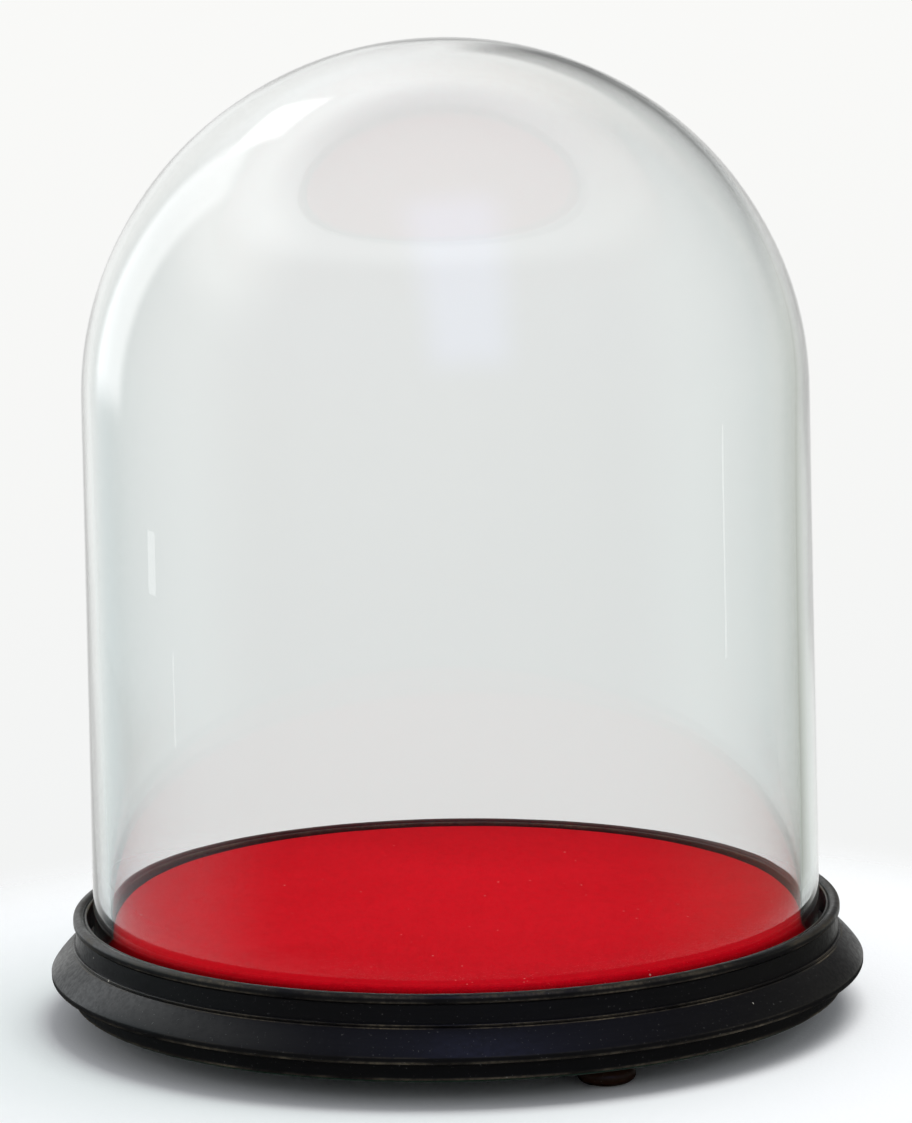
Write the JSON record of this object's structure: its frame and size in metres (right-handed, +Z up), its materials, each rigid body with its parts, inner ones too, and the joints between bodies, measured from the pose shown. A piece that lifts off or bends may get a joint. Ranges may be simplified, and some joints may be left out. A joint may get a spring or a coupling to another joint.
{
  "type": "bell jar dome",
  "caption": "Round glass bell jar dome standing in the groove of a turned black wooden base with a raised red velvet display platform and small bun feet; the dome lifts off.",
  "frame": {"origin": "on the ground, under the centre of the round base", "axes": "+Z up along the dome's axis; -Y is the front that the picture looks at, and +X is to its right"},
  "size_m": [0.398, 0.398, 0.4801],
  "materials": {
    "dome_glass": "clear blown soda glass with a faint grey-green tint",
    "ebonised_wood": "turned hardwood, black polished, semi-gloss with rubbed edges",
    "board": "bare birch plywood",
    "red_velvet": "short-pile cotton velvet, vivid red",
    "wadding": "cotton wadding",
    "groove_felt": "dark wool felt strip",
    "baize": "green wool baize",
    "screw_brass": "dull brass, slotted countersunk"
  },
  "bodies": {
    "base": {"plinth_moulding": "ebonised_wood", "base_board": "board", "platform_board": "board", "wadding_pad": "wadding", "velvet_cover": "red_velvet", "groove_felt": "groove_felt", "underside_baize": "baize", "bun_foot_1": "ebonised_wood", "bun_foot_2": "ebonised_wood", "bun_foot_3": "ebonised_wood", "foot_screw_1": "screw_brass", "foot_screw_2": "screw_brass", "foot_screw_3": "screw_brass", "moulding_screw_1": "screw_brass", "moulding_screw_2": "screw_brass", "moulding_screw_3": "screw_brass", "moulding_screw_4": "screw_brass", "moulding_screw_5": "screw_brass", "moulding_screw_6": "screw_brass", "platform_screw_1": "screw_brass", "platform_screw_2": "screw_brass", "platform_screw_3": "screw_brass", "platform_screw_4": "screw_brass"},
    "dome": {"glass_dome": "dome_glass"}
  },
  "joints": [
    {"name": "dome_lift", "type": "slide", "parent": "base", "child": "dome", "axis": [0, 0, 1], "range_m": [0, 0.46]}
  ]
}
